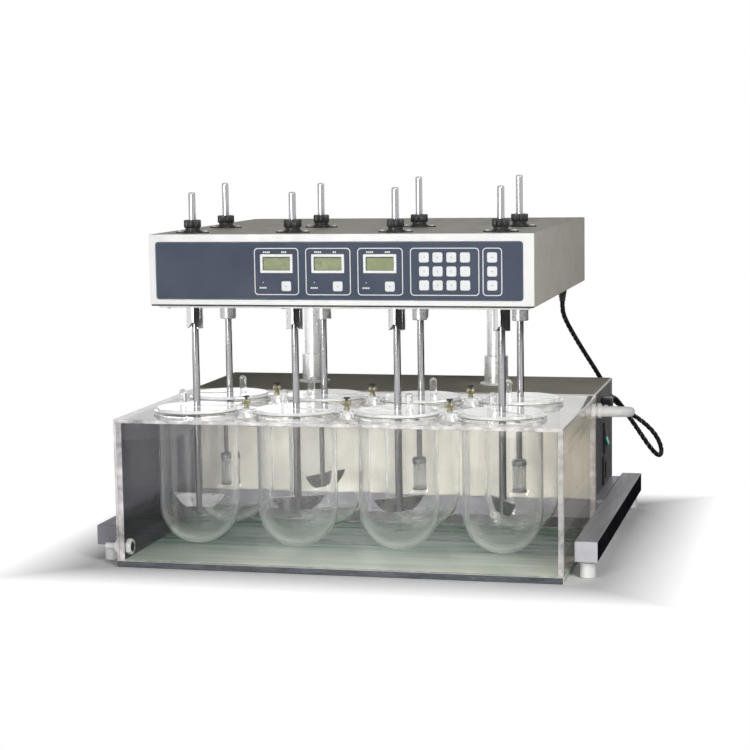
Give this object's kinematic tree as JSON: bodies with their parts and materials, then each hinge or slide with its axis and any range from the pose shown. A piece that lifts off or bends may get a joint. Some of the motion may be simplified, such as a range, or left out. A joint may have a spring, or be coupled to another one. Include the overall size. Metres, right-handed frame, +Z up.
{
  "type": "dissolution tester",
  "caption": "Bench dissolution tester: a drive head on lift columns turns paddles and baskets in glass vessels hung in a clear water bath, with a rear housing.",
  "frame": {"origin": "on the bench, at the middle of the footprint of the bath and rails", "axes": "+X to the right along the vessel rows, +Y to the back, +Z up"},
  "size_m": [0.7177, 0.5526, 0.514],
  "materials": {
    "enamel_white": "fine textured off-white powder coat",
    "enamel_grey": "fine textured beige-grey powder coat",
    "rail_grey": "smooth grey paint",
    "acrylic": "clear polished acrylic",
    "vessel_glass": "clear borosilicate glass",
    "steel": "fine turned stainless steel",
    "chrome": "polished steel",
    "black_plastic": "moulded black",
    "white_plastic": "moulded white",
    "hose_silicone": "translucent white silicone",
    "panel_film": "blue-grey membrane film",
    "display_lens": "olive liquid crystal behind a lens",
    "switch_green": "lit green rocker",
    "black_rubber": "black spiral wrap",
    "motor_black": "black motor enamel"
  },
  "bodies": {
    "base": {"side_rails": "rail_grey", "cross_frame": "rail_grey", "levelling_feet": "white_plastic", "rear_housing": "enamel_grey", "column_sleeves": "enamel_white", "circulation_heater": "steel", "water_bath": "acrylic", "bath_plate": "acrylic", "vessels": "vessel_glass", "hold_down_clamps": "acrylic", "bulkhead_fittings": "white_plastic", "hose": "hose_silicone", "side_connectors": "black_plastic", "harness": "black_rubber"},
    "head": {"head_cover": "enamel_white", "head_base_plate": "enamel_white", "control_panel": "panel_film", "displays": "display_lens", "spindle_bearings": "black_plastic", "drive_motor": "motor_black", "drive_belt": "black_rubber", "lift_columns": "chrome", "lift_motors": "motor_black", "harness_gland": "black_plastic"},
    "mains_rocker": {"mains_rocker": "switch_green"},
    "drive_pulley": {"drive_pulley": "steel"},
    "lift_screw_left": {"lift_screw_left": "steel"},
    "lift_screw_right": {"lift_screw_right": "steel"},
    "spindle_1": {"spindle_1": "chrome"},
    "spindle_2": {"spindle_2": "chrome"},
    "spindle_3": {"spindle_3": "chrome"},
    "spindle_4": {"spindle_4": "chrome"},
    "spindle_5": {"spindle_5": "chrome"},
    "spindle_6": {"spindle_6": "chrome"},
    "spindle_7": {"spindle_7": "chrome"},
    "spindle_8": {"spindle_8": "chrome"},
    "chuck_1": {"chuck_1": "black_plastic"},
    "chuck_2": {"chuck_2": "black_plastic"},
    "chuck_3": {"chuck_3": "black_plastic"},
    "chuck_4": {"chuck_4": "black_plastic"},
    "chuck_5": {"chuck_5": "black_plastic"},
    "chuck_6": {"chuck_6": "black_plastic"},
    "chuck_7": {"chuck_7": "black_plastic"},
    "chuck_8": {"chuck_8": "black_plastic"},
    "rod_1": {"rod_1": "steel"},
    "rod_2": {"rod_2": "steel"},
    "rod_3": {"rod_3": "steel"},
    "rod_4": {"rod_4": "steel"},
    "rod_5": {"rod_5": "steel"},
    "rod_6": {"rod_6": "steel"},
    "rod_7": {"rod_7": "steel"},
    "rod_8": {"rod_8": "steel"},
    "cover_1": {"cover_1": "acrylic"},
    "cover_2": {"cover_2": "acrylic"},
    "cover_3": {"cover_3": "acrylic"},
    "cover_4": {"cover_4": "acrylic"},
    "cover_5": {"cover_5": "acrylic"},
    "cover_6": {"cover_6": "acrylic"},
    "cover_7": {"cover_7": "acrylic"},
    "cover_8": {"cover_8": "acrylic"}
  },
  "joints": [
    {"name": "head_lift", "type": "slide", "parent": "base", "child": "head", "axis": [0, 0, 1], "range_m": [0, 0.15]},
    {"name": "mains_switch", "type": "hinge", "parent": "base", "child": "mains_rocker", "pos_m": [0.3, 0.14675, 0.125], "axis": [0, 1, 0], "range_deg": [0, 20]},
    {"name": "drive_pulley_turn", "type": "hinge", "parent": "head", "child": "drive_pulley", "pos_m": [0, -0.05325, 0.385], "axis": [0, 0, 1], "continuous": true},
    {"name": "lift_screw_left_turn", "type": "hinge", "parent": "head", "child": "lift_screw_left", "pos_m": [-0.14, 0.14475, 0.2], "axis": [0, 0, 1], "continuous": true},
    {"name": "lift_screw_right_turn", "type": "hinge", "parent": "head", "child": "lift_screw_right", "pos_m": [0.14, 0.14475, 0.2], "axis": [0, 0, 1], "continuous": true},
    {"name": "spindle_1_turn", "type": "hinge", "parent": "head", "child": "spindle_1", "pos_m": [-0.21, -0.19725, 0.38], "axis": [0, 0, 1], "continuous": true},
    {"name": "chuck_1_turn", "type": "hinge", "parent": "spindle_1", "child": "chuck_1", "pos_m": [-0.21, -0.19725, 0.455], "axis": [0, 0, 1], "range_deg": [0, 180]},
    {"name": "rod_1_height", "type": "slide", "parent": "spindle_1", "child": "rod_1", "axis": [0, 0, 1], "range_m": [-0.02, 0.08]},
    {"name": "cover_1_lift", "type": "slide", "parent": "head", "child": "cover_1", "axis": [0, 0, 1], "range_m": [0, 0.1]},
    {"name": "spindle_2_turn", "type": "hinge", "parent": "head", "child": "spindle_2", "pos_m": [-0.07, -0.19725, 0.38], "axis": [0, 0, 1], "continuous": true},
    {"name": "chuck_2_turn", "type": "hinge", "parent": "spindle_2", "child": "chuck_2", "pos_m": [-0.07, -0.19725, 0.455], "axis": [0, 0, 1], "range_deg": [0, 180]},
    {"name": "rod_2_height", "type": "slide", "parent": "spindle_2", "child": "rod_2", "axis": [0, 0, 1], "range_m": [-0.02, 0.08]},
    {"name": "cover_2_lift", "type": "slide", "parent": "head", "child": "cover_2", "axis": [0, 0, 1], "range_m": [0, 0.1]},
    {"name": "spindle_3_turn", "type": "hinge", "parent": "head", "child": "spindle_3", "pos_m": [0.07, -0.19725, 0.38], "axis": [0, 0, 1], "continuous": true},
    {"name": "chuck_3_turn", "type": "hinge", "parent": "spindle_3", "child": "chuck_3", "pos_m": [0.07, -0.19725, 0.455], "axis": [0, 0, 1], "range_deg": [0, 180]},
    {"name": "rod_3_height", "type": "slide", "parent": "spindle_3", "child": "rod_3", "axis": [0, 0, 1], "range_m": [-0.02, 0.08]},
    {"name": "cover_3_lift", "type": "slide", "parent": "head", "child": "cover_3", "axis": [0, 0, 1], "range_m": [0, 0.1]},
    {"name": "spindle_4_turn", "type": "hinge", "parent": "head", "child": "spindle_4", "pos_m": [0.21, -0.19725, 0.38], "axis": [0, 0, 1], "continuous": true},
    {"name": "chuck_4_turn", "type": "hinge", "parent": "spindle_4", "child": "chuck_4", "pos_m": [0.21, -0.19725, 0.455], "axis": [0, 0, 1], "range_deg": [0, 180]},
    {"name": "rod_4_height", "type": "slide", "parent": "spindle_4", "child": "rod_4", "axis": [0, 0, 1], "range_m": [-0.02, 0.08]},
    {"name": "cover_4_lift", "type": "slide", "parent": "head", "child": "cover_4", "axis": [0, 0, 1], "range_m": [0, 0.1]},
    {"name": "spindle_5_turn", "type": "hinge", "parent": "head", "child": "spindle_5", "pos_m": [-0.21, -0.05325, 0.38], "axis": [0, 0, 1], "continuous": true},
    {"name": "chuck_5_turn", "type": "hinge", "parent": "spindle_5", "child": "chuck_5", "pos_m": [-0.21, -0.05325, 0.455], "axis": [0, 0, 1], "range_deg": [0, 180]},
    {"name": "rod_5_height", "type": "slide", "parent": "spindle_5", "child": "rod_5", "axis": [0, 0, 1], "range_m": [-0.02, 0.08]},
    {"name": "cover_5_lift", "type": "slide", "parent": "head", "child": "cover_5", "axis": [0, 0, 1], "range_m": [0, 0.1]},
    {"name": "spindle_6_turn", "type": "hinge", "parent": "head", "child": "spindle_6", "pos_m": [-0.07, -0.05325, 0.38], "axis": [0, 0, 1], "continuous": true},
    {"name": "chuck_6_turn", "type": "hinge", "parent": "spindle_6", "child": "chuck_6", "pos_m": [-0.07, -0.05325, 0.455], "axis": [0, 0, 1], "range_deg": [0, 180]},
    {"name": "rod_6_height", "type": "slide", "parent": "spindle_6", "child": "rod_6", "axis": [0, 0, 1], "range_m": [-0.02, 0.08]},
    {"name": "cover_6_lift", "type": "slide", "parent": "head", "child": "cover_6", "axis": [0, 0, 1], "range_m": [0, 0.1]},
    {"name": "spindle_7_turn", "type": "hinge", "parent": "head", "child": "spindle_7", "pos_m": [0.07, -0.05325, 0.38], "axis": [0, 0, 1], "continuous": true},
    {"name": "chuck_7_turn", "type": "hinge", "parent": "spindle_7", "child": "chuck_7", "pos_m": [0.07, -0.05325, 0.455], "axis": [0, 0, 1], "range_deg": [0, 180]},
    {"name": "rod_7_height", "type": "slide", "parent": "spindle_7", "child": "rod_7", "axis": [0, 0, 1], "range_m": [-0.02, 0.08]},
    {"name": "cover_7_lift", "type": "slide", "parent": "head", "child": "cover_7", "axis": [0, 0, 1], "range_m": [0, 0.1]},
    {"name": "spindle_8_turn", "type": "hinge", "parent": "head", "child": "spindle_8", "pos_m": [0.21, -0.05325, 0.38], "axis": [0, 0, 1], "continuous": true},
    {"name": "chuck_8_turn", "type": "hinge", "parent": "spindle_8", "child": "chuck_8", "pos_m": [0.21, -0.05325, 0.455], "axis": [0, 0, 1], "range_deg": [0, 180]},
    {"name": "rod_8_height", "type": "slide", "parent": "spindle_8", "child": "rod_8", "axis": [0, 0, 1], "range_m": [-0.02, 0.08]},
    {"name": "cover_8_lift", "type": "slide", "parent": "head", "child": "cover_8", "axis": [0, 0, 1], "range_m": [0, 0.1]}
  ],
  "couplings": [
    {"joint": "drive_pulley_turn", "follows": "spindle_1_turn", "ratio": 1},
    {"joint": "spindle_2_turn", "follows": "spindle_1_turn", "ratio": 1},
    {"joint": "spindle_3_turn", "follows": "spindle_1_turn", "ratio": 1},
    {"joint": "spindle_4_turn", "follows": "spindle_1_turn", "ratio": 1},
    {"joint": "spindle_5_turn", "follows": "spindle_1_turn", "ratio": 1},
    {"joint": "spindle_6_turn", "follows": "spindle_1_turn", "ratio": 1},
    {"joint": "spindle_7_turn", "follows": "spindle_1_turn", "ratio": 1},
    {"joint": "spindle_8_turn", "follows": "spindle_1_turn", "ratio": 1},
    {"joint": "lift_screw_left_turn", "follows": "head_lift", "rad_per_m": 628.32},
    {"joint": "lift_screw_right_turn", "follows": "head_lift", "rad_per_m": 628.32}
  ]
}
